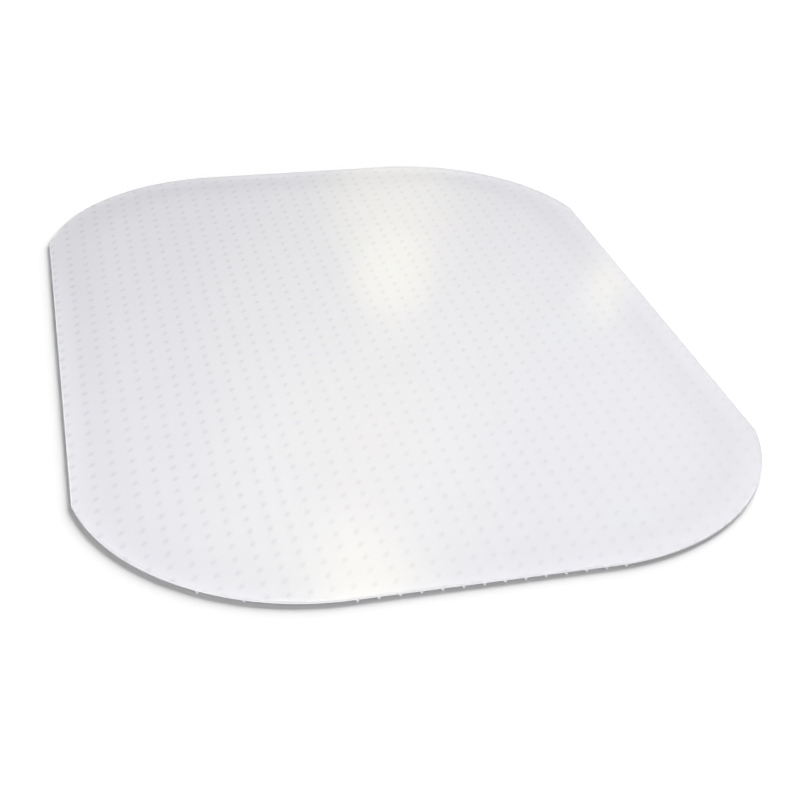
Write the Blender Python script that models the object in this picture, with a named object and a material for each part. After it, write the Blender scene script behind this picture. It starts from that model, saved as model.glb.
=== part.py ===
"""Clear plastic chair mat for carpet: a plain wear sheet over a backing of gripping studs.

Metres, +Z up. The origin is on the floor, under the middle of the mat. +X runs across the mat,
and +Y runs along it, away from the person at the desk.
"""

import math

import bmesh
import bpy
from mathutils import Matrix

# Outline: a 36 by 48 inch sheet with 12 inch corner arcs.
MAT_WIDTH = 0.9144
MAT_LENGTH = 1.2192
CORNER_RADIUS = 0.3048
# The arcs run smoothly into the short ends. The long sides trim this much off them, which
# leaves a slight kink where each arc meets a long side.
SIDE_TRIM = 0.0072
ARC_STEPS = 20

# Layers, from the top down.
SHEET_THICKNESS = 0.0025
BACKING_THICKNESS = 0.0008
LAYER_GAP = 0.0001
RIM_ROUND = 0.0004
RIM_STEPS = 2

# Studs: a square grid that the sheet was cut from without regard to where the studs fall.
STUD_LENGTH = 0.0025
STUD_RADIUS = 0.0019
STUD_SIDES = 3
STUD_PITCH = 0.0250
STUD_SHIFT_X = -0.0020
STUD_SHIFT_Y = -0.0098
STUD_ROOT = 0.0003
# A stud whose middle is outside the outline by more than this is cut away whole.
STUD_LEAST_INSIDE = -0.0005

# The backing is laid out in two halves, which part between two columns of studs.
SEAM_X = STUD_SHIFT_X + STUD_PITCH / 2
SEAM_GAP = 0.0003

# How far a cutter runs past what it cuts.
CUTTER_MARGIN = 0.0100

SHEET_TOP = STUD_LENGTH + SHEET_THICKNESS
BACKING_TOP = STUD_LENGTH + BACKING_THICKNESS
SHEET_BOTTOM = BACKING_TOP + LAYER_GAP
ARC_CENTRE_X = MAT_WIDTH / 2 + SIDE_TRIM - CORNER_RADIUS
ARC_CENTRE_Y = MAT_LENGTH / 2 - CORNER_RADIUS

SHEET_COLOUR = (0.80, 0.79, 0.84, 1.0)
STUD_COLOUR = (0.76, 0.75, 0.80, 1.0)


def clear_scene():
    for old in list(bpy.data.objects):
        bpy.data.objects.remove(old, do_unlink=True)


def add_collection(name):
    collection = bpy.data.collections.new(name)
    bpy.context.scene.collection.children.link(collection)
    return collection


def clear_plastic(name, colour, roughness):
    material = bpy.data.materials.new(name)
    material.use_nodes = True
    shader = material.node_tree.nodes["Principled BSDF"]
    shader.inputs["Base Color"].default_value = colour
    shader.inputs["Roughness"].default_value = roughness
    shader.inputs["Metallic"].default_value = 0.0
    shader.inputs["IOR"].default_value = 1.53
    shader.inputs["Alpha"].default_value = 0.6
    return material


def add_object(name, mesh, collection):
    made = bpy.data.objects.new(name, mesh)
    collection.objects.link(made)
    return made


def add_cutter(name, mesh, collection):
    cutter = add_object(name, mesh, collection)
    cutter.hide_render = True
    cutter.display_type = "WIRE"
    return cutter


def outline_points():
    """The mat's outline, anticlockwise: four arcs, joined by straight sides and ends."""
    kink = math.acos((CORNER_RADIUS - SIDE_TRIM) / CORNER_RADIUS)
    sweep = [kink + (math.pi / 2 - kink) * step / ARC_STEPS for step in range(ARC_STEPS + 1)]
    quarter = [
        (ARC_CENTRE_X + CORNER_RADIUS * math.cos(a), ARC_CENTRE_Y + CORNER_RADIUS * math.sin(a))
        for a in sweep
    ]
    far_right = quarter
    far_left = [(-x, y) for x, y in reversed(quarter)]
    near_left = [(-x, -y) for x, y in quarter]
    near_right = [(x, -y) for x, y in reversed(quarter)]
    return far_right + far_left + near_left + near_right


def depth_inside(x, y):
    """How far a point is inside the outline. It is below zero outside."""
    depth = min(MAT_WIDTH / 2 - abs(x), MAT_LENGTH / 2 - abs(y))
    past_x = abs(x) - ARC_CENTRE_X
    past_y = abs(y) - ARC_CENTRE_Y
    if past_x > 0 and past_y > 0:
        depth = min(depth, CORNER_RADIUS - math.hypot(past_x, past_y))
    return depth


def outline_plate(name, bottom, top):
    """A flat plate of the mat's outline, from a filled curve."""
    points = outline_points()
    curve = bpy.data.curves.new(name, "CURVE")
    curve.dimensions = "2D"
    curve.fill_mode = "BOTH"
    curve.extrude = (top - bottom) / 2
    spline = curve.splines.new("POLY")
    spline.points.add(len(points) - 1)
    for point, (x, y) in zip(spline.points, points):
        point.co = (x, y, 0.0, 1.0)
    spline.use_cyclic_u = True
    guide = add_object(name + "_curve", curve, bpy.context.scene.collection)
    graph = bpy.context.evaluated_depsgraph_get()
    mesh = bpy.data.meshes.new_from_object(guide.evaluated_get(graph))
    bpy.data.objects.remove(guide, do_unlink=True)
    bpy.data.curves.remove(curve)
    mesh.name = name
    plate = bmesh.new()
    plate.from_mesh(mesh)
    bmesh.ops.remove_doubles(plate, verts=plate.verts, dist=1e-6)
    bmesh.ops.translate(plate, verts=plate.verts, vec=(0.0, 0.0, (top + bottom) / 2))
    bmesh.ops.recalc_face_normals(plate, faces=plate.faces)
    plate.to_mesh(mesh)
    plate.free()
    return mesh


def round_top_rim(mesh):
    """Eases the upper cut edge, which feet and casters pass over."""
    plate = bmesh.new()
    plate.from_mesh(mesh)
    highest = max(v.co.z for v in plate.verts)
    rim = [
        edge
        for edge in plate.edges
        if len(edge.link_faces) == 2
        and edge.calc_face_angle() > math.radians(60)
        and all(highest - v.co.z < RIM_ROUND for v in edge.verts)
    ]
    bmesh.ops.bevel(
        plate,
        geom=rim,
        offset=RIM_ROUND,
        segments=RIM_STEPS,
        profile=0.5,
        affect="EDGES",
    )
    plate.to_mesh(mesh)
    plate.free()


def stud_places():
    """Middles of the studs of the grid that the outline keeps, in rows from the near end."""
    columns = math.ceil(MAT_WIDTH / 2 / STUD_PITCH) + 1
    rows = math.ceil(MAT_LENGTH / 2 / STUD_PITCH) + 1
    places = []
    for row in range(-rows, rows + 1):
        for column in range(-columns, columns + 1):
            x = STUD_SHIFT_X + column * STUD_PITCH
            y = STUD_SHIFT_Y + row * STUD_PITCH
            if depth_inside(x, y) > STUD_LEAST_INSIDE:
                places.append((x, y))
    return places


def stud_mesh(name, places):
    """Pointed studs, with their roots sunk into the backing and their tips on the floor."""
    height = STUD_LENGTH + STUD_ROOT
    root_radius = STUD_RADIUS * height / STUD_LENGTH
    studs = bmesh.new()
    for x, y in places:
        tip_down = Matrix.Rotation(math.pi, 4, "X")
        bmesh.ops.create_cone(
            studs,
            cap_ends=True,
            segments=STUD_SIDES,
            radius1=root_radius,
            radius2=0.0,
            depth=height,
            matrix=Matrix.Translation((x, y, height / 2)) @ tip_down,
        )
    bmesh.ops.remove_doubles(studs, verts=studs.verts, dist=1e-6)
    mesh = bpy.data.meshes.new(name)
    studs.to_mesh(mesh)
    studs.free()
    return mesh


def web_mesh(name, left, right):
    """A length of backing web between two lines along the mat, longer than the mat."""
    length = MAT_LENGTH + 2 * CUTTER_MARGIN
    web = bmesh.new()
    bmesh.ops.create_cube(web, size=1.0)
    bmesh.ops.scale(web, verts=web.verts, vec=(right - left, length, BACKING_THICKNESS))
    middle = ((left + right) / 2, 0.0, STUD_LENGTH + BACKING_THICKNESS / 2)
    bmesh.ops.translate(web, verts=web.verts, vec=middle)
    mesh = bpy.data.meshes.new(name)
    web.to_mesh(mesh)
    web.free()
    return mesh


def add_boolean(made, name, operation, cutter):
    modifier = made.modifiers.new(name, "BOOLEAN")
    modifier.operation = operation
    modifier.solver = "EXACT"
    modifier.object = cutter


def add_wear_sheet(parts):
    mesh = outline_plate("wear_sheet", SHEET_BOTTOM, SHEET_TOP)
    round_top_rim(mesh)
    mesh.materials.append(clear_plastic("clear_sheet", SHEET_COLOUR, 0.30))
    return add_object("wear_sheet", mesh, parts)


def add_stud_backing(name, left, right, plastic, trim, parts, cutters):
    """Half of the backing: web and studs in one, trimmed to the mat's outline."""
    mesh = web_mesh(name, left, right)
    mesh.materials.append(plastic)
    backing = add_object(name, mesh, parts)
    places = [(x, y) for x, y in stud_places() if left < x < right]
    studs = add_cutter(name + "_studs", stud_mesh(name + "_studs", places), cutters)
    add_boolean(backing, "studs", "UNION", studs)
    add_boolean(backing, "trim", "INTERSECT", trim)
    return backing


def build_mat():
    clear_scene()
    parts = add_collection("chair_mat")
    cutters = add_collection("cutters")
    root = add_object("chair_mat_origin", None, parts)
    trim_mesh = outline_plate("outline_trim", -CUTTER_MARGIN, SHEET_TOP + CUTTER_MARGIN)
    trim = add_cutter("outline_trim", trim_mesh, cutters)
    stud_plastic = clear_plastic("clear_studs", STUD_COLOUR, 0.35)
    edge = MAT_WIDTH / 2 + CUTTER_MARGIN
    made = [
        add_wear_sheet(parts),
        add_stud_backing(
            "stud_backing_left", -edge, SEAM_X - SEAM_GAP / 2, stud_plastic, trim, parts, cutters
        ),
        add_stud_backing(
            "stud_backing_right", SEAM_X + SEAM_GAP / 2, edge, stud_plastic, trim, parts, cutters
        ),
    ]
    for piece in made:
        piece.parent = root


build_mat()
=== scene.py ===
import math

import bmesh
import bpy
import numpy as np
from mathutils import Matrix, Vector


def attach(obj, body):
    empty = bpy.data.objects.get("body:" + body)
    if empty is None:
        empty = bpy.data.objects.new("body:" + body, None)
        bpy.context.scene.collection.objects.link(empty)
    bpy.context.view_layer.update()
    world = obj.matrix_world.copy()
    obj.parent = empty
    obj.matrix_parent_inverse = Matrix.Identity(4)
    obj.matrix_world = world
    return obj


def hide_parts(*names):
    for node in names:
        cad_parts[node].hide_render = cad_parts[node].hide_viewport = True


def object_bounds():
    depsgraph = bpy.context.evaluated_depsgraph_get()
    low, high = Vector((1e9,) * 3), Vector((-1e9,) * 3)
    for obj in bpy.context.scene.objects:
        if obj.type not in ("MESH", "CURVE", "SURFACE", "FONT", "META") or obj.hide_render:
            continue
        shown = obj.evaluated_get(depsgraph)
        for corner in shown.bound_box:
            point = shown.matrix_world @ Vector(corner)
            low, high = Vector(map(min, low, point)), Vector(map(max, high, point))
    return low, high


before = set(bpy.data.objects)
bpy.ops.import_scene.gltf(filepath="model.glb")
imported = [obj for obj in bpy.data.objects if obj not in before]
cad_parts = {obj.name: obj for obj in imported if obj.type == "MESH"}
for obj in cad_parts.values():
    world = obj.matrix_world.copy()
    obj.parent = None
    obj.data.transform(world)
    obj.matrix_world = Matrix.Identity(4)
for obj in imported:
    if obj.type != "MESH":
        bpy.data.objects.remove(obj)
CAD_LOW, CAD_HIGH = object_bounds()

# Outline, in metres: width, length and height come from the pieces in model.glb.
MAT_WIDTH = CAD_HIGH.x - CAD_LOW.x
MAT_LENGTH = CAD_HIGH.y - CAD_LOW.y
MAT_TOP = CAD_HIGH.z
CORNER_RADIUS = 0.3048
# The long sides trim this much off the corner arcs, which leaves a slight kink.
SIDE_TRIM = 0.0072
ARC_STEPS = 48
ARC_CENTRE_X = MAT_WIDTH / 2 + SIDE_TRIM - CORNER_RADIUS
ARC_CENTRE_Y = MAT_LENGTH / 2 - CORNER_RADIUS

# The sheet's cut edge is eased by this much, above and below.
RIM_ROUND = 0.0008
RIM_STEPS = 3
# A face of the sheet is flat where its normal is nearer to upright than the first of these, and
# belongs to the underside where its normal points further down than the second.
FLAT_NORMAL = 0.99
UNDERSIDE_NORMAL = -0.15
EDGE_SLOT = 1
UNDERSIDE_SLOT = 2

# Studs: a square grid, off centre, which the outline cuts wherever it falls.
STUD_LENGTH = 0.0025
STUD_PITCH = 0.0250
STUD_SHIFT_X = -0.0020
STUD_SHIFT_Y = -0.0098
STUD_SIDES = 10
STUD_ROOT = 0.0002
# A stud is kept where its middle is further inside the outline than this.
STUD_LEAST_INSIDE = -0.0005
# (radius, height above the floor), from the flared root to the blunt tip.
STUD_PROFILE = (
    (0.0026, STUD_LENGTH + STUD_ROOT),
    (0.0024, STUD_LENGTH),
    (0.0019, 0.0020),
    (0.0013, 0.0009),
    (0.0006, 0.0001),
)
# Faces of a stud that meet at more than this many degrees keep a sharp edge.
STUD_SHARP_ANGLE = 50.0

# Clear plastic. A haze is how much of the light a face stops, a roughness runs from the first
# value to the second, and a noise is (scale, detail).
PLASTIC_IOR = 1.53
SHEET_HAZE = 0.45
SHEET_DARK = (0.951, 0.934, 0.982, 1.0)
SHEET_LIGHT = (0.944, 0.950, 0.990, 1.0)
SHEET_ROUGHNESS = (0.08, 0.11)
SHEET_GLOSS = 1.0
TINT_NOISE = (5.0, 3.0)
WEAR_NOISE = (60.0, 4.0)
GRAIN_NOISE = (1400.0, 2.0)
GRAIN_STRENGTH = 0.15
GRAIN_DEPTH = 0.00002
EDGE_HAZE = 0.85
EDGE_DARK = (0.92, 0.92, 0.94, 1.0)
EDGE_LIGHT = (0.96, 0.96, 0.975, 1.0)
EDGE_ROUGHNESS = (0.35, 0.50)
SAW_NOISE = (700.0, 2.0)
# The studs' grey tint, darker than the sheet's, is painted shade for the light that they turn
# aside, so that they show dark through the sheet.
STUD_HAZE = 0.45
STUD_DARK = (0.66, 0.65, 0.70, 1.0)
STUD_LIGHT = (0.72, 0.71, 0.76, 1.0)
STUD_ROUGHNESS = (0.22, 0.34)
FLOW_NOISE = (300.0, 2.0)
# Noise between these two values is spread over the whole of a tint, roughness or strength.
NOISE_LOW = 0.3
NOISE_HIGH = 0.7

# Along the rim, the underside has its own haze and tint, over a band this wide. That keeps light
# from leaking through the rim into the shadow at the edge. The tint is painted shade, darker than
# the sheet's, so that the hazier rim looks no brighter than the rest. The rim is haziest and
# darkest on its lee side: along the key light's direction, the haze is full up to the first of two
# distances from the mat's middle, and down to a share of it from the second.
RIM_BAND = 0.0900
RIM_HAZE = 0.96
RIM_SHADE_TINT = (0.908, 0.902, 0.942, 1.0)
LEE_FULL = -0.15
LEE_END = 0.05
LIT_SIDE_SHARE = 0.76

# The mark that each stud leaves in the sheet's top, as the photograph shows it: a long spot that
# lies in this direction (degrees from +Y towards +X), so long, so wide, so far from the stud along
# Y, because the stud is seen through the sheet, and of this tint. The spot is partly the stud seen
# through the sheet and partly painted shadow that the stud casts away from the key light. Its
# strength varies from the first value to the second, and falls by so much per metre along each
# axis, which is painted shade, strongest at the far left.
MARK_TOWARD = 32.0
MARK_LENGTH = 0.0195
MARK_WIDTH = 0.0100
MARK_SHIFT_Y = -0.0038
MARK_SHADOW_TINT = (0.773, 0.762, 0.801, 1.0)
MARK_STRENGTH = (0.33, 0.50)
MARK_NOISE = (45.0, 1.0)
MARK_SHADE_FALL = (0.66, -0.48, 0.0)

# Camera: where the photograph was taken from, the direction it faced, how far it was rolled, in
# degrees, and the pixels of its square frame. All directions from here on are (degrees from +Y
# towards +X, degrees above the floor).
IMAGE_SIZE = 800
FOCAL_PIXELS = 1399.68
SENSOR_WIDTH = 36.0
CAMERA_PLACE = Vector((-0.43827, -1.79745, 1.02960))
CAMERA_TOWARD = (15.305, -31.862)
CAMERA_ROLL = -2.582

# Floor: its colour for the light that it throws back, and for what the camera, the gloss and the
# clear pieces show of it, which is white once lit.
FLOOR_SIZE = 60.0
FLOOR_PALE = 0.90
FLOOR_SEEN = 1.12

# Light: even from all round, and from a large soft key light, so many degrees across, low on the
# far right.
WHITE = (1.0, 1.0, 1.0, 1.0)
WHITE_STRENGTH = 1.0
EVEN_STRENGTH = 0.165
KEY_TOWARD = (38.0, 19.0)
KEY_ACROSS = 44.0
KEY_STRENGTH = 6.9
KEY_DISTANCE = FLOOR_SIZE
# A lamp low behind the camera and to its left, which whitens the near cut edge.
FRONT_PLACE = (-3.60, -6.40, 0.50)
FRONT_AIM = (-0.20, -0.50, 0.0)
FRONT_SIZE = 0.90
FRONT_POWER = 335.0
# What the sheet's gloss mirrors, and nothing else shows: a dim far end of the room, a bright
# ceiling, and softboxes. Each is so many degrees across.
DIM_TOWARD = (9.3, 13.7)
DIM_ACROSS = 48.0
DIM_STRENGTH = -1.0
CEILING_TOWARD = (17.5, 36.5)
CEILING_ACROSS = 43.5
CEILING_STRENGTH = 1.15
# The pixels of the photograph where the softboxes show as glows on the mat.
MIDDLE_GLOW_PIXEL = (370, 330)
MIDDLE_SPOT_PIXEL = (392, 282)
FAR_GLOW_PIXEL = (392, 205)
NEAR_GLOW_PIXEL = (345, 515)
RIGHT_SPOT_PIXEL = (604, 290)
NEAR_SPOT_PIXEL = (368, 577)
NEAR_LEFT_SPOT_PIXEL = (325, 556)
SOFTBOX_TINT = (1.0, 0.97, 0.48, 1.0)
# (pixel, degrees across, strength) of each.
SOFTBOXES = (
    (MIDDLE_GLOW_PIXEL, 17.5, 0.36),
    (MIDDLE_SPOT_PIXEL, 4.4, 1.3),
    (FAR_GLOW_PIXEL, 7.0, 0.8),
    (NEAR_GLOW_PIXEL, 16.0, 0.5),
    (RIGHT_SPOT_PIXEL, 2.4, 2.0),
    (NEAR_SPOT_PIXEL, 6.0, 1.4),
    (NEAR_LEFT_SPOT_PIXEL, 6.0, 0.4),
)


def outline_points():
    """The mat's outline, anticlockwise: four arcs, joined by straight sides and ends."""
    kink = math.acos((CORNER_RADIUS - SIDE_TRIM) / CORNER_RADIUS)
    sweep = np.linspace(kink, math.pi / 2, ARC_STEPS + 1)
    quarter = [
        (ARC_CENTRE_X + CORNER_RADIUS * math.cos(a), ARC_CENTRE_Y + CORNER_RADIUS * math.sin(a))
        for a in sweep
    ]
    far_left = [(-x, y) for x, y in reversed(quarter)]
    near_left = [(-x, -y) for x, y in quarter]
    near_right = [(x, -y) for x, y in reversed(quarter)]
    return quarter + far_left + near_left + near_right


def nearest_edge(x, y):
    """How far a point is inside the outline, and the outward direction of the nearest edge."""
    across = Vector((math.copysign(1.0, x), 0.0, 0.0))
    along = Vector((0.0, math.copysign(1.0, y), 0.0))
    found = [(MAT_WIDTH / 2 - abs(x), across), (MAT_LENGTH / 2 - abs(y), along)]
    past_x = abs(x) - ARC_CENTRE_X
    past_y = abs(y) - ARC_CENTRE_Y
    if past_x > 0 and past_y > 0:
        out = (across * past_x + along * past_y).normalized()
        found.append((CORNER_RADIUS - math.hypot(past_x, past_y), out))
    return min(found, key=lambda pair: pair[0])


def toward(azimuth, elevation):
    """The direction at these angles, in degrees."""
    flat = math.cos(math.radians(elevation))
    turn = math.radians(azimuth)
    up = math.sin(math.radians(elevation))
    return Vector((flat * math.sin(turn), flat * math.cos(turn), up))


def new_piece(name, mesh):
    piece = bpy.data.objects.new(name, mesh)
    bpy.context.scene.collection.objects.link(piece)
    return piece


def sheet_mesh():
    """The sheet: the outline with its cut edge eased above and below."""
    plate = bmesh.new()
    base = plate.faces.new([plate.verts.new((x, y, STUD_LENGTH)) for x, y in outline_points()])
    raised = bmesh.ops.extrude_face_region(plate, geom=[base])["geom"]
    lifted = [item for item in raised if isinstance(item, bmesh.types.BMVert)]
    bmesh.ops.translate(plate, verts=lifted, vec=(0.0, 0.0, MAT_TOP - STUD_LENGTH))
    bmesh.ops.recalc_face_normals(plate, faces=plate.faces)
    rim = [
        edge
        for edge in plate.edges
        if abs(edge.verts[0].co.z - edge.verts[1].co.z) < RIM_ROUND
    ]
    bmesh.ops.bevel(
        plate, geom=rim, offset=RIM_ROUND, segments=RIM_STEPS, profile=0.5, affect="EDGES"
    )
    for face in plate.faces:
        if abs(face.normal.z) < FLAT_NORMAL:
            face.smooth = True
            face.material_index = EDGE_SLOT
        if face.normal.z < UNDERSIDE_NORMAL:
            face.material_index = UNDERSIDE_SLOT
    mesh = bpy.data.meshes.new("clear_sheet")
    plate.to_mesh(mesh)
    plate.free()
    return mesh


def stud_template():
    """One stud, tip down on the floor, as rings of points joined by faces."""
    turns = [2 * math.pi * side / STUD_SIDES for side in range(STUD_SIDES)]
    points = [
        (radius * math.cos(a), radius * math.sin(a), z) for radius, z in STUD_PROFILE for a in turns
    ]
    points.append((0.0, 0.0, 0.0))
    tip = len(points) - 1
    last = tip - STUD_SIDES
    faces = [tuple(range(STUD_SIDES))]
    for ring in range(len(STUD_PROFILE) - 1):
        for side in range(STUD_SIDES):
            a = ring * STUD_SIDES + side
            b = ring * STUD_SIDES + (side + 1) % STUD_SIDES
            faces.append((a, a + STUD_SIDES, b + STUD_SIDES, b))
    for side in range(STUD_SIDES):
        faces.append((last + side, tip, last + (side + 1) % STUD_SIDES))
    return np.array(points), faces


def stud_places():
    """(place, how far inside, outward direction) of each stud that the outline keeps."""
    columns = math.ceil(MAT_WIDTH / 2 / STUD_PITCH) + 1
    rows = math.ceil(MAT_LENGTH / 2 / STUD_PITCH) + 1
    kept = []
    for row in range(-rows, rows + 1):
        for column in range(-columns, columns + 1):
            x = STUD_SHIFT_X + column * STUD_PITCH
            y = STUD_SHIFT_Y + row * STUD_PITCH
            depth, out = nearest_edge(x, y)
            if depth > STUD_LEAST_INSIDE:
                kept.append((Vector((x, y, 0.0)), depth, out))
    return kept


def add_cut_stud(studs, points, faces, place, depth, out):
    """Adds a stud that the cut edge passes through, closed along the cut."""
    stud = bmesh.new()
    corners = [stud.verts.new(Vector(p) + place) for p in points]
    for face in faces:
        stud.faces.new([corners[i] for i in face])
    cut = bmesh.ops.bisect_plane(
        stud,
        geom=stud.verts[:] + stud.edges[:] + stud.faces[:],
        plane_co=place + out * depth,
        plane_no=out,
        clear_outer=True,
    )["geom_cut"]
    open_edges = [item for item in cut if isinstance(item, bmesh.types.BMEdge)]
    for face in bmesh.ops.edgenet_fill(stud, edges=open_edges)["faces"]:
        face.material_index = EDGE_SLOT
    bmesh.ops.recalc_face_normals(stud, faces=stud.faces)
    half = bpy.data.meshes.new("cut_stud")
    stud.to_mesh(half)
    stud.free()
    studs.from_mesh(half)
    bpy.data.meshes.remove(half)


def stud_mesh():
    """All the studs: the whole ones, and then those that the cut edge passes through."""
    points, faces = stud_template()
    widest = STUD_PROFILE[0][0]
    places = stud_places()
    whole = [place for place, depth, _ in places if depth > widest]
    cut = [item for item in places if item[1] <= widest]
    all_points = np.concatenate([points + np.array(place) for place in whole])
    count = len(points)
    all_faces = [
        tuple(i + number * count for i in face) for number in range(len(whole)) for face in faces
    ]
    mesh = bpy.data.meshes.new("grip_studs")
    mesh.from_pydata(all_points.tolist(), [], all_faces)
    studs = bmesh.new()
    studs.from_mesh(mesh)
    for place, depth, out in cut:
        add_cut_stud(studs, points, faces, place, depth, out)
    for face in studs.faces:
        face.smooth = True
    studs.to_mesh(mesh)
    studs.free()
    mesh.set_sharp_from_angle(angle=math.radians(STUD_SHARP_ANGLE))
    return mesh


def new_material(name):
    material = bpy.data.materials.new(name)
    material.use_nodes = True
    nodes = material.node_tree.nodes
    return material, nodes, material.node_tree.links, nodes["Principled BSDF"]


def add_place(nodes):
    """The point of the piece that is shaded."""
    return nodes.new("ShaderNodeTexCoord").outputs["Object"]


def add_noise(nodes, links, scale, detail):
    noise = nodes.new("ShaderNodeTexNoise")
    noise.inputs["Scale"].default_value = scale
    noise.inputs["Detail"].default_value = detail
    links.new(add_place(nodes), noise.inputs["Vector"])
    return noise.outputs["Fac"]


def add_range(nodes, links, noise, low, high):
    """A value between low and high, by the noise."""
    spread = nodes.new("ShaderNodeMapRange")
    spread.inputs["From Min"].default_value = NOISE_LOW
    spread.inputs["From Max"].default_value = NOISE_HIGH
    spread.inputs["To Min"].default_value = low
    spread.inputs["To Max"].default_value = high
    links.new(noise, spread.inputs["Value"])
    return spread.outputs["Result"]


def add_tint(nodes, links, noise, dark, light):
    """A tint between dark and light, by the noise."""
    ramp = nodes.new("ShaderNodeValToRGB")
    ramp.color_ramp.elements[0].position = NOISE_LOW
    ramp.color_ramp.elements[0].color = dark
    ramp.color_ramp.elements[1].position = NOISE_HIGH
    ramp.color_ramp.elements[1].color = light
    links.new(noise, ramp.inputs["Fac"])
    return ramp.outputs["Color"]


def add_level(nodes, links, share, low, high):
    """Low where the share is 0, and high where it is 1."""
    level = nodes.new("ShaderNodeMapRange")
    level.inputs["To Min"].default_value = low
    level.inputs["To Max"].default_value = high
    links.new(share, level.inputs["Value"])
    return level.outputs["Result"]


def add_fade(nodes, links, source, start, end, first, last):
    """The first value where the source is up to start, turning smoothly into the last at end."""
    fade = nodes.new("ShaderNodeMapRange")
    fade.interpolation_type = "SMOOTHSTEP"
    fade.inputs["From Min"].default_value = start
    fade.inputs["From Max"].default_value = end
    fade.inputs["To Min"].default_value = first
    fade.inputs["To Max"].default_value = last
    links.new(source, fade.inputs["Value"])
    return fade.outputs["Result"]


def add_vector(nodes, links, operation, source, *values):
    """A step of vector maths on a source, with set values for its other inputs."""
    step = nodes.new("ShaderNodeVectorMath")
    step.operation = operation
    links.new(source, step.inputs[0])
    for socket, value in zip(step.inputs[1:], values):
        socket.default_value = value
    return step


def add_math(nodes, links, operation, first, second):
    """A step of maths on two sources."""
    step = nodes.new("ShaderNodeMath")
    step.operation = operation
    links.new(first, step.inputs[0])
    links.new(second, step.inputs[1])
    return step.outputs[0]


def subtract_from(nodes, links, value, source):
    """A set value less the source."""
    step = nodes.new("ShaderNodeMath")
    step.operation = "SUBTRACT"
    step.inputs[0].default_value = value
    links.new(source, step.inputs[1])
    return step.outputs[0]


def stud_marks_and_shadows(nodes, links):
    """1 at the middle of each stud's mark and its painted shadow, fading to 0 at the outline of its
    long spot.
    """
    shift = (STUD_SHIFT_X, STUD_SHIFT_Y + MARK_SHIFT_Y, 0.0)
    moved = add_vector(nodes, links, "SUBTRACT", add_place(nodes), shift).outputs[0]
    half = STUD_PITCH / 2
    high, low = (half, half, 1.0), (-half, -half, -1.0)
    cell = add_vector(nodes, links, "WRAP", moved, high, low).outputs[0]
    turn = nodes.new("ShaderNodeVectorRotate")
    turn.rotation_type = "Z_AXIS"
    turn.inputs["Angle"].default_value = math.radians(MARK_TOWARD)
    links.new(cell, turn.inputs["Vector"])
    stretch = (2 / MARK_WIDTH, 2 / MARK_LENGTH, 0.0)
    spot = add_vector(nodes, links, "MULTIPLY", turn.outputs["Vector"], stretch).outputs[0]
    away = add_vector(nodes, links, "LENGTH", spot).outputs["Value"]
    return add_fade(nodes, links, away, 0.0, 1.0, 1.0, 0.0)


def rim_depth(nodes, links):
    """How far inside the outline a point near the rim is."""
    quarter = add_vector(nodes, links, "ABSOLUTE", add_place(nodes)).outputs[0]
    corner = (ARC_CENTRE_X, ARC_CENTRE_Y, 0.0)
    past = add_vector(nodes, links, "SUBTRACT", quarter, corner).outputs[0]
    outer = add_vector(nodes, links, "MAXIMUM", past, (0.0, 0.0, 0.0)).outputs[0]
    flat = add_vector(nodes, links, "MULTIPLY", outer, (1.0, 1.0, 0.0)).outputs[0]
    reach = add_vector(nodes, links, "LENGTH", flat).outputs["Value"]
    split = nodes.new("ShaderNodeSeparateXYZ")
    links.new(quarter, split.inputs[0])
    arc = subtract_from(nodes, links, CORNER_RADIUS, reach)
    side = subtract_from(nodes, links, MAT_WIDTH / 2, split.outputs["X"])
    return add_math(nodes, links, "MINIMUM", arc, side)


def rim_share(nodes, links):
    """1 at the rim on the side away from the key light, less on the other, 0 in the middle."""
    to_key = toward(KEY_TOWARD[0], 0.0)
    along = add_vector(nodes, links, "DOT_PRODUCT", add_place(nodes), to_key).outputs["Value"]
    lee = add_fade(nodes, links, along, LEE_FULL, LEE_END, 1.0, LIT_SIDE_SHARE)
    rim = add_fade(nodes, links, rim_depth(nodes, links), 0.0, RIM_BAND, 1.0, 0.0)
    return add_math(nodes, links, "MULTIPLY", rim, lee)


def mix_tints(nodes, links, share, source, tint):
    """The source where the share is 0, and the tint where it is 1."""
    mix = nodes.new("ShaderNodeMix")
    mix.data_type = "RGBA"
    inputs = {socket.identifier: socket for socket in mix.inputs}
    outputs = {socket.identifier: socket for socket in mix.outputs}
    links.new(share, inputs["Factor_Float"])
    links.new(source, inputs["A_Color"])
    inputs["B_Color"].default_value = tint
    return outputs["Result_Color"]


def sheet_material(name):
    """Clear plastic with a faint lavender haze and a very fine grain."""
    material, nodes, links, shader = new_material(name)
    haze = add_noise(nodes, links, *TINT_NOISE)
    tint = add_tint(nodes, links, haze, SHEET_DARK, SHEET_LIGHT)
    wear = add_noise(nodes, links, *WEAR_NOISE)
    links.new(add_range(nodes, links, wear, *SHEET_ROUGHNESS), shader.inputs["Roughness"])
    grain = nodes.new("ShaderNodeBump")
    grain.inputs["Strength"].default_value = GRAIN_STRENGTH
    grain.inputs["Distance"].default_value = GRAIN_DEPTH
    links.new(add_noise(nodes, links, *GRAIN_NOISE), grain.inputs["Height"])
    links.new(grain.outputs["Normal"], shader.inputs["Normal"])
    shader.inputs["IOR"].default_value = PLASTIC_IOR
    shader.inputs["Specular IOR Level"].default_value = SHEET_GLOSS
    shader.inputs["Alpha"].default_value = SHEET_HAZE
    return material, nodes, links, shader, tint


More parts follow.
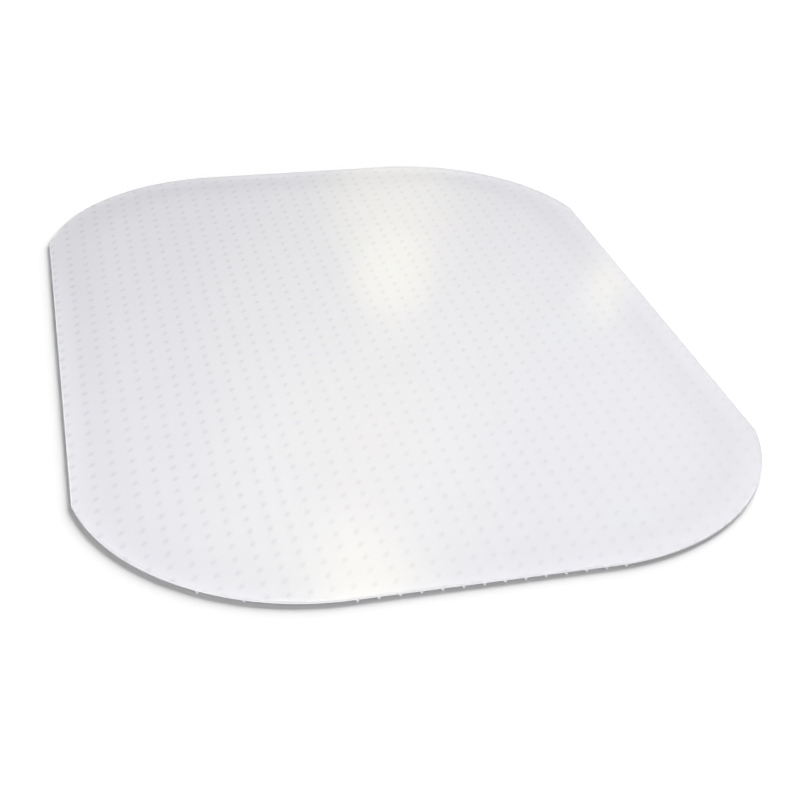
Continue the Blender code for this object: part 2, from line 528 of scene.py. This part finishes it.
def top_material():
    """The sheet's top, where the studs below show as marks with painted shadow, not all as strong,
    and with painted shade that grows towards the far left.
    """
    material, nodes, links, shader, tint = sheet_material("clear_sheet")
    strength = add_range(nodes, links, add_noise(nodes, links, *MARK_NOISE), *MARK_STRENGTH)
    # Painted shade: the marks grow stronger towards the far left and weaker towards the near right.
    fall = add_vector(nodes, links, "DOT_PRODUCT", add_place(nodes), MARK_SHADE_FALL).outputs["Value"]
    kept = subtract_from(nodes, links, 1.0, fall)
    local = add_math(nodes, links, "MULTIPLY", strength, kept)
    share = add_math(nodes, links, "MULTIPLY", stud_marks_and_shadows(nodes, links), local)
    links.new(mix_tints(nodes, links, share, tint, MARK_SHADOW_TINT), shader.inputs["Base Color"])
    return material


def underside_material():
    """The sheet's underside, hazier along the rim, which keeps the shadow at the edge dark, and
    painted a darker shade there, most on the lee side.
    """
    material, nodes, links, shader, tint = sheet_material("clear_underside")
    share = rim_share(nodes, links)
    links.new(mix_tints(nodes, links, share, tint, RIM_SHADE_TINT), shader.inputs["Base Color"])
    links.new(add_level(nodes, links, share, SHEET_HAZE, RIM_HAZE), shader.inputs["Alpha"])
    return material


def moulded_material(name, noise, dark, light, roughness, haze):
    """Plastic whose tint and roughness vary a little from place to place."""
    material, nodes, links, shader = new_material(name)
    source = add_noise(nodes, links, *noise)
    links.new(add_tint(nodes, links, source, dark, light), shader.inputs["Base Color"])
    links.new(add_range(nodes, links, source, *roughness), shader.inputs["Roughness"])
    shader.inputs["IOR"].default_value = PLASTIC_IOR
    shader.inputs["Alpha"].default_value = haze
    return material


def edge_material():
    """The cut edge, where light that runs inside the sheet comes out."""
    return moulded_material("cut_edge", SAW_NOISE, EDGE_DARK, EDGE_LIGHT, EDGE_ROUGHNESS, EDGE_HAZE)


def stud_material():
    """Smooth moulded studs of the same plastic, painted a darker grey as shade for the light that
    they turn aside.
    """
    return moulded_material(
        "clear_studs", FLOW_NOISE, STUD_DARK, STUD_LIGHT, STUD_ROUGHNESS, STUD_HAZE
    )


def add_sheet(cut_edge):
    piece = new_piece("clear_sheet", sheet_mesh())
    piece.data.materials.append(top_material())
    piece.data.materials.append(cut_edge)
    piece.data.materials.append(underside_material())
    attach(piece, "root")
    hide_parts("wear_sheet")


def add_studs(cut_edge):
    piece = new_piece("grip_studs", stud_mesh())
    piece.data.materials.append(stud_material())
    piece.data.materials.append(cut_edge)
    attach(piece, "root")
    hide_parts("stud_backing_left", "stud_backing_right")


def camera_axes():
    """The directions to the right of, below and ahead of the camera."""
    ahead = toward(*CAMERA_TOWARD)
    level = ahead.cross(Vector((0.0, 0.0, 1.0))).normalized()
    right = Matrix.Rotation(math.radians(CAMERA_ROLL), 3, ahead) @ level
    return right, ahead.cross(right), ahead


def add_camera():
    lens = bpy.data.cameras.new("photo_camera")
    lens.sensor_width = SENSOR_WIDTH
    lens.lens = FOCAL_PIXELS / IMAGE_SIZE * SENSOR_WIDTH
    camera = bpy.data.objects.new("photo_camera", lens)
    bpy.context.scene.collection.objects.link(camera)
    right, down, ahead = camera_axes()
    turn = Matrix((right, -down, -ahead)).transposed()
    camera.matrix_world = Matrix.Translation(CAMERA_PLACE) @ turn.to_4x4()
    bpy.context.scene.camera = camera


def seen_only(nodes, links):
    """1 for what the camera, a mirror or a clear piece shows, 0 for light that falls on things."""
    path = nodes.new("ShaderNodeLightPath").outputs
    first = add_math(nodes, links, "MAXIMUM", path["Is Camera Ray"], path["Is Glossy Ray"])
    return add_math(nodes, links, "MAXIMUM", first, path["Is Transmission Ray"])


def add_floor():
    """A pale floor, seen as white."""
    floor = bmesh.new()
    bmesh.ops.create_grid(floor, x_segments=1, y_segments=1, size=FLOOR_SIZE / 2)
    mesh = bpy.data.meshes.new("floor")
    floor.to_mesh(mesh)
    floor.free()
    piece = new_piece("floor", mesh)
    material, nodes, links, shader = new_material("pale_floor")
    nodes.remove(shader)
    matte = nodes.new("ShaderNodeBsdfDiffuse")
    level = add_level(nodes, links, seen_only(nodes, links), FLOOR_PALE, FLOOR_SEEN)
    links.new(level, matte.inputs["Color"])
    links.new(matte.outputs[0], nodes["Material Output"].inputs["Surface"])
    mesh.materials.append(material)


def add_patch(nodes, links, direction, across, strength):
    """A soft round patch of light in a direction, so many degrees across."""
    sky = nodes.new("ShaderNodeTexCoord").outputs["Generated"]
    close = add_vector(nodes, links, "DOT_PRODUCT", sky, direction.normalized()).outputs["Value"]
    rim = math.cos(math.radians(across / 2))
    return add_fade(nodes, links, close, rim, 1.0, 0.0, strength)


def mirrored(pixel):
    """The direction that the mat's top mirrors to the camera at a pixel of the photograph."""
    right, down, ahead = camera_axes()
    across = (pixel[0] - IMAGE_SIZE / 2) / FOCAL_PIXELS
    along = (pixel[1] - IMAGE_SIZE / 2) / FOCAL_PIXELS
    ray = ahead + right * across + down * along
    return Vector((ray.x, ray.y, -ray.z))


def room_light(nodes, links, glossy):
    """The strength of a white room, to which the gloss adds a dim end and a bright ceiling."""
    dim = add_patch(nodes, links, toward(*DIM_TOWARD), DIM_ACROSS, DIM_STRENGTH)
    ceiling = add_patch(nodes, links, toward(*CEILING_TOWARD), CEILING_ACROSS, CEILING_STRENGTH)
    change = add_math(nodes, links, "ADD", dim, ceiling)
    white = nodes.new("ShaderNodeMath")
    white.operation = "ADD"
    white.inputs[1].default_value = WHITE_STRENGTH
    links.new(add_math(nodes, links, "MULTIPLY", change, glossy), white.inputs[0])
    return white.outputs[0]


def softbox_light(nodes, links, glossy):
    """The strength of all the softboxes together, for the gloss alone."""
    total = None
    for pixel, across, strength in SOFTBOXES:
        light = add_patch(nodes, links, mirrored(pixel), across, strength)
        total = light if total is None else add_math(nodes, links, "ADD", total, light)
    return add_math(nodes, links, "MULTIPLY", total, glossy)


def add_world():
    """Soft light, behind which the background is seen as white."""
    world = bpy.data.worlds.new("studio")
    bpy.context.scene.world = world
    world.use_nodes = True
    nodes, links = world.node_tree.nodes, world.node_tree.links
    glossy = nodes.new("ShaderNodeLightPath").outputs["Is Glossy Ray"]
    level = nodes.new("ShaderNodeMapRange")
    level.inputs["To Min"].default_value = EVEN_STRENGTH
    links.new(room_light(nodes, links, glossy), level.inputs["To Max"])
    links.new(seen_only(nodes, links), level.inputs["Value"])
    sky = nodes["Background"]
    sky.inputs["Color"].default_value = WHITE
    links.new(level.outputs["Result"], sky.inputs["Strength"])
    softboxes = nodes.new("ShaderNodeBackground")
    softboxes.inputs["Color"].default_value = SOFTBOX_TINT
    links.new(softbox_light(nodes, links, glossy), softboxes.inputs["Strength"])
    both = nodes.new("ShaderNodeAddShader")
    links.new(sky.outputs[0], both.inputs[0])
    links.new(softboxes.outputs[0], both.inputs[1])
    links.new(both.outputs[0], nodes["World Output"].inputs["Surface"])


def add_lamp(name, light, place, direction):
    """A lamp that the gloss doesn't show."""
    lamp = bpy.data.objects.new(name, light)
    bpy.context.scene.collection.objects.link(lamp)
    lamp.location = place
    lamp.rotation_euler = direction.to_track_quat("-Z", "Y").to_euler()
    lamp.visible_glossy = False


def add_key():
    key = bpy.data.lights.new("key", "SUN")
    key.angle = math.radians(KEY_ACROSS)
    key.energy = KEY_STRENGTH
    source = toward(*KEY_TOWARD)
    add_lamp("key", key, source * KEY_DISTANCE, -source)


def add_front():
    front = bpy.data.lights.new("front", "AREA")
    front.shape = "DISK"
    front.size = FRONT_SIZE
    front.energy = FRONT_POWER
    add_lamp("front", front, FRONT_PLACE, Vector(FRONT_AIM) - Vector(FRONT_PLACE))


def set_view():
    bpy.context.scene.view_settings.view_transform = "Standard"


add_camera()
cut_edge = edge_material()
add_sheet(cut_edge)
add_studs(cut_edge)
add_floor()
add_world()
add_key()
add_front()
set_view()
